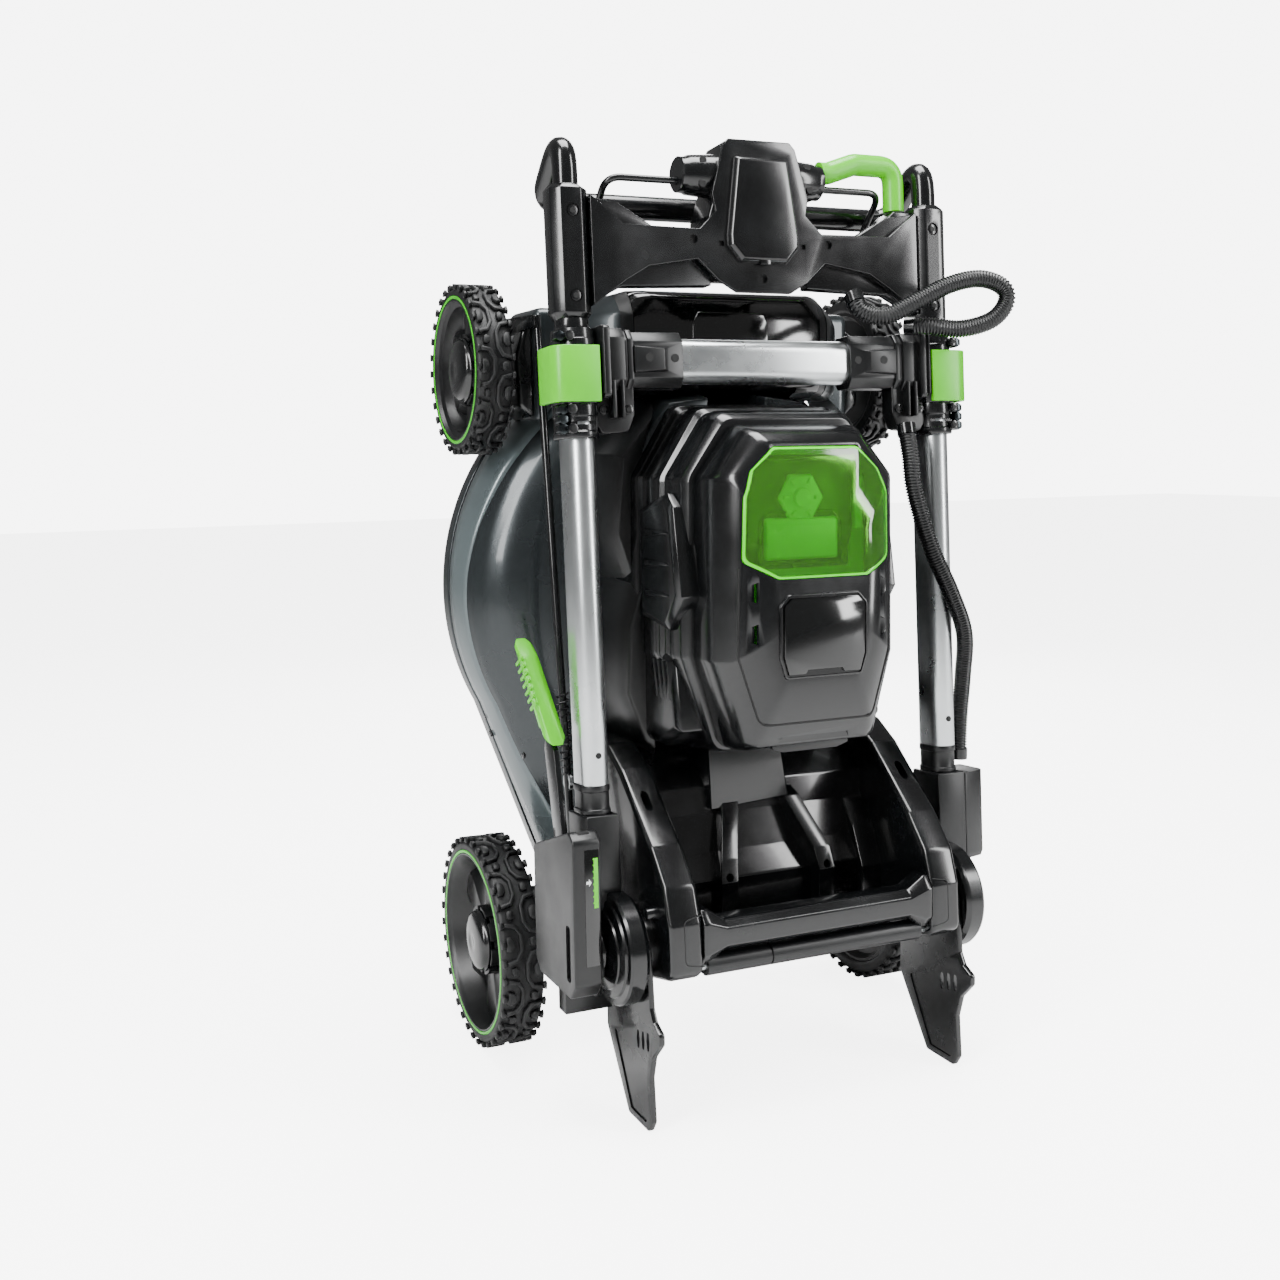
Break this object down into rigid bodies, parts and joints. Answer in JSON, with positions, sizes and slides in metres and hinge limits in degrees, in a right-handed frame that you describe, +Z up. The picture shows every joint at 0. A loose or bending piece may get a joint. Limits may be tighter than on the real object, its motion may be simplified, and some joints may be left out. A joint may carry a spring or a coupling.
{
  "type": "push lawn mower",
  "caption": "Cordless self-propelled rear-discharge lawn mower, folded flat and standing on its rear wheels and storage legs, with a telescoping handle over a round deck.",
  "frame": {"origin": "centre of the bounding box, on the floor that the rear wheels and the storage legs stand on", "axes": "+Z up, which is the mower's front as it stands folded; -Y the mower's top side, where the motor housing is; +X the mower's right side"},
  "size_m": [0.527, 0.422, 0.9443],
  "materials": {
    "deck_grey": "satin graphite powder coat",
    "black_plastic": "satin black moulded nylon",
    "gloss_black": "glossy black moulding",
    "lime": "bright lime green",
    "clear_green": "clear lime green polycarbonate",
    "silver_aluminium": "satin anodised",
    "black_aluminium": "black anodised tube",
    "motor_aluminium": "cast and machined",
    "steel": "bare steel",
    "black_steel": "black powder coat",
    "tyre": "black moulded tread"
  },
  "bodies": {
    "chassis": {"deck_shell": "deck_grey", "nose_cover": "gloss_black", "motor_base": "black_plastic", "motor_cover": "black_plastic", "motor_can": "motor_aluminium", "rear_housing": "black_plastic", "grab_bar": "black_plastic", "leg_left": "black_steel", "leg_right": "black_steel", "lever_housing": "black_plastic", "drive_unit": "black_plastic", "door_rod": "black_steel", "height_spring": "steel"},
    "rear_axle": {"rear_axle": "black_steel"},
    "front_axle": {"front_axle": "black_steel"},
    "height_lever": {"height_lever": "black_steel", "height_grip": "lime"},
    "link_rod": {"link_rod": "black_steel"},
    "blade_rotor": {"motor_shaft": "steel", "blade": "steel", "blade_bolt": "steel"},
    "battery_lid": {"battery_lid": "clear_green"},
    "battery": {"battery_pack": "black_plastic"},
    "battery_release": {"battery_release": "lime"},
    "rear_door": {"rear_door": "black_plastic"},
    "handle_lower": {"pivot_disc_left": "black_plastic", "pivot_disc_right": "black_plastic", "bracket_left": "black_plastic", "bracket_right": "black_plastic", "lower_tube_left": "silver_aluminium", "lower_tube_right": "silver_aluminium", "clamp_left": "black_plastic", "clamp_right": "black_plastic", "crossbar": "silver_aluminium", "conduit_lower": "black_plastic"},
    "clamp_lever_left": {"clamp_lever_left": "lime"},
    "clamp_lever_right": {"clamp_lever_right": "lime"},
    "handle_upper": {"grip_tube": "black_aluminium", "tube_housing_left": "black_plastic", "tube_housing_right": "black_plastic", "crossbeam": "black_plastic", "console": "black_plastic", "conduit_loop": "black_plastic"},
    "wire_bail": {"wire_bail": "black_steel"},
    "drive_bail": {"drive_bail": "lime"},
    "start_button": {"start_button": "lime"},
    "speed_dial": {"speed_dial": "black_plastic"},
    "safety_key": {"safety_key": "lime"},
    "wheel_front_left": {"tyre_front_left": "tyre", "rim_front_left": "black_plastic", "hubcap_front_left": "black_plastic"},
    "wheel_front_right": {"tyre_front_right": "tyre", "rim_front_right": "black_plastic", "hubcap_front_right": "black_plastic"},
    "wheel_rear_left": {"tyre_rear_left": "tyre", "rim_rear_left": "black_plastic", "hubcap_rear_left": "black_plastic"},
    "wheel_rear_right": {"tyre_rear_right": "tyre", "rim_rear_right": "black_plastic", "hubcap_rear_right": "black_plastic"}
  },
  "joints": [
    {"name": "handle_fold", "type": "hinge", "parent": "chassis", "child": "handle_lower", "pos_m": [0, -0.1425, 0.172], "axis": [1, 0, 0], "range_deg": [0, 140]},
    {"name": "handle_telescope", "type": "slide", "parent": "handle_lower", "child": "handle_upper", "axis": [0, 0.0628, 0.998], "range_m": [0, 0.24]},
    {"name": "clamp_lever_left_hinge", "type": "hinge", "parent": "handle_lower", "child": "clamp_lever_left", "pos_m": [-0.2255, -0.07435, 0.71379], "axis": [0, -0.0628, -0.998], "range_deg": [0, 100]},
    {"name": "clamp_lever_right_hinge", "type": "hinge", "parent": "handle_lower", "child": "clamp_lever_right", "pos_m": [0.2255, -0.07435, 0.71379], "axis": [0, 0.0628, 0.998], "range_deg": [0, 100]},
    {"name": "wire_bail_hinge", "type": "hinge", "parent": "handle_upper", "child": "wire_bail", "pos_m": [0, -0.06136, 0.90435], "axis": [1, 0, 0], "range_deg": [0, 10], "stiffness_Nm_per_rad": 0.6, "springref_deg": -28.65},
    {"name": "drive_bail_hinge", "type": "hinge", "parent": "handle_upper", "child": "drive_bail", "pos_m": [0, -0.06032, 0.92082], "axis": [1, 0, 0], "range_deg": [0, 18], "stiffness_Nm_per_rad": 0.4, "springref_deg": -22.92},
    {"name": "start_button_push", "type": "slide", "parent": "handle_upper", "child": "start_button", "axis": [0, -0.998, 0.0628], "range_m": [0, 0.003], "stiffness_N_per_m": 300, "springref_m": -0.001},
    {"name": "speed_dial_turn", "type": "hinge", "parent": "handle_upper", "child": "speed_dial", "pos_m": [0.033, -0.03929, 0.85687], "axis": [0, 0.998, -0.0628], "range_deg": [-135, 135]},
    {"name": "safety_key_pull", "type": "slide", "parent": "handle_upper", "child": "safety_key", "axis": [0, 0.998, -0.0628], "range_m": [0, 0.01]},
    {"name": "battery_lid_hinge", "type": "hinge", "parent": "chassis", "child": "battery_lid", "pos_m": [0, -0.19, 0.647], "axis": [-1, 0, 0], "range_deg": [0, 100]},
    {"name": "battery_eject", "type": "slide", "parent": "chassis", "child": "battery", "axis": [0, -1, 0], "range_m": [0, 0.012]},
    {"name": "battery_release_push", "type": "slide", "parent": "chassis", "child": "battery_release", "axis": [0, 1, 0], "range_m": [0, 0.004], "stiffness_N_per_m": 300, "springref_m": -0.001},
    {"name": "rear_door_hinge", "type": "hinge", "parent": "chassis", "child": "rear_door", "pos_m": [0, -0.1885, 0.158], "axis": [-1, 0, 0], "range_deg": [0, 75], "stiffness_Nm_per_rad": 0.6, "springref_deg": -85.94},
    {"name": "height_lever_swing", "type": "hinge", "parent": "chassis", "child": "height_lever", "pos_m": [-0.228, -0.1425, 0.172], "axis": [1, 0, 0], "range_deg": [-20, 20]},
    {"name": "link_rod_slide", "type": "slide", "parent": "chassis", "child": "link_rod", "axis": [0, 0.1266, 0.992], "range_m": [-0.037, 0.037], "deforming": ["height_spring"]},
    {"name": "rear_axle_crank", "type": "hinge", "parent": "chassis", "child": "rear_axle", "pos_m": [0, 0.0965, 0.1595], "axis": [1, 0, 0], "range_deg": [-25, 25]},
    {"name": "front_axle_crank", "type": "hinge", "parent": "chassis", "child": "front_axle", "pos_m": [0, 0.1198, 0.7755], "axis": [1, 0, 0], "range_deg": [-25, 25]},
    {"name": "blade_spin", "type": "hinge", "parent": "chassis", "child": "blade_rotor", "pos_m": [0, 0.1265, 0.495], "axis": [0, 1, 0], "continuous": true},
    {"name": "wheel_rear_left_spin", "type": "hinge", "parent": "rear_axle", "child": "wheel_rear_left", "pos_m": [-0.2165, 0.0965, 0.1145], "axis": [1, 0, 0], "continuous": true},
    {"name": "wheel_rear_right_spin", "type": "hinge", "parent": "rear_axle", "child": "wheel_rear_right", "pos_m": [0.2165, 0.0965, 0.1145], "axis": [1, 0, 0], "continuous": true},
    {"name": "wheel_front_left_spin", "type": "hinge", "parent": "front_axle", "child": "wheel_front_left", "pos_m": [-0.2165, 0.1198, 0.7305], "axis": [1, 0, 0], "continuous": true},
    {"name": "wheel_front_right_spin", "type": "hinge", "parent": "front_axle", "child": "wheel_front_right", "pos_m": [0.2165, 0.1198, 0.7305], "axis": [1, 0, 0], "continuous": true}
  ],
  "couplings": [
    {"joint": "link_rod_slide", "follows": "height_lever_swing", "m_per_rad": 0.10118},
    {"joint": "front_axle_crank", "follows": "height_lever_swing", "ratio": -1.2245},
    {"joint": "rear_axle_crank", "follows": "height_lever_swing", "ratio": -1.2245}
  ]
}
